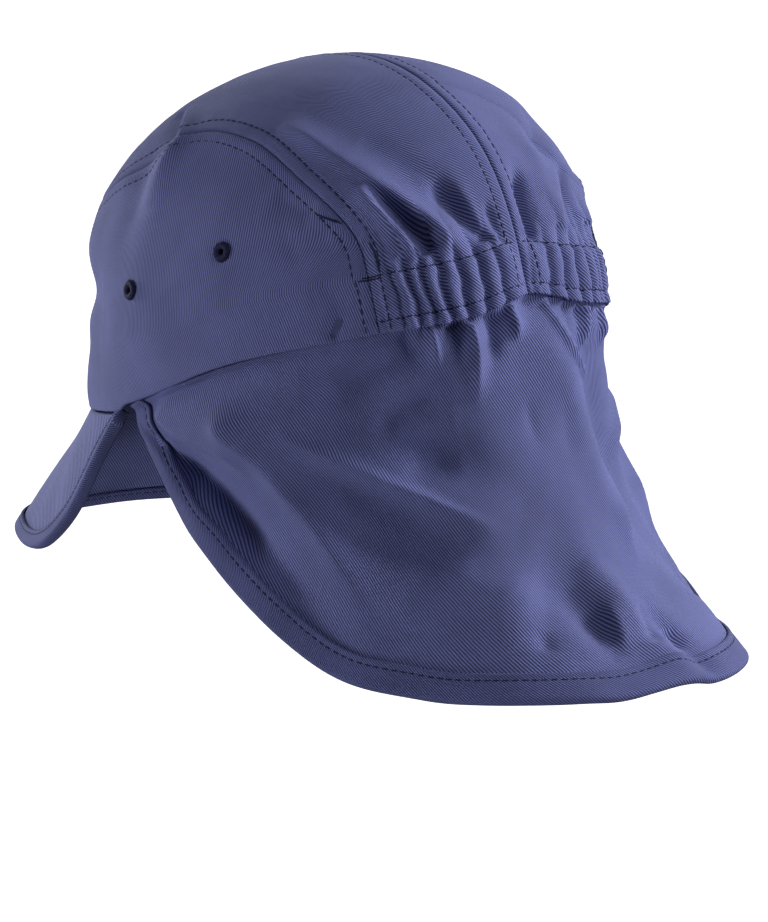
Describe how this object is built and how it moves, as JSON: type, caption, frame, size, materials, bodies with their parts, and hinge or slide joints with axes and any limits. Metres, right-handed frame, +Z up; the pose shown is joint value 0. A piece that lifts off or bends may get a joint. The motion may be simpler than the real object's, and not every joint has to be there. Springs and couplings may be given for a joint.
{
  "type": "legionnaire cap",
  "caption": "Soft cotton sun cap with a curved peak, a gathered elastic back and a long neck flap with a bound edge.",
  "frame": {"origin": "middle of the crown's rim, at the height where the rim sits on the head", "axes": "+Z up through the crown, -Y to the front where the peak points, +X to the wearer's left"},
  "size_m": [0.1698, 0.2956, 0.2386],
  "materials": {
    "crown_twill": "navy cotton twill, matt, with a soft pale nap",
    "peak_twill": "navy cotton twill over a firm peak, matt",
    "flap_twill": "navy cotton twill, matt, hanging in soft folds",
    "binding_twill": "navy bias binding of the same twill, matt",
    "thread": "dark navy sewing thread with a faint gloss"
  },
  "bodies": {
    "root": {"front_panel": "crown_twill", "rear_panel_left": "crown_twill", "rear_panel_right": "crown_twill", "peak": "peak_twill", "peak_binding": "binding_twill", "neck_flap": "flap_twill", "flap_binding": "binding_twill", "eyelet_left_rear": "thread", "eyelet_left_front": "thread", "eyelet_right_rear": "thread", "eyelet_right_front": "thread"}
  },
  "joints": []
}
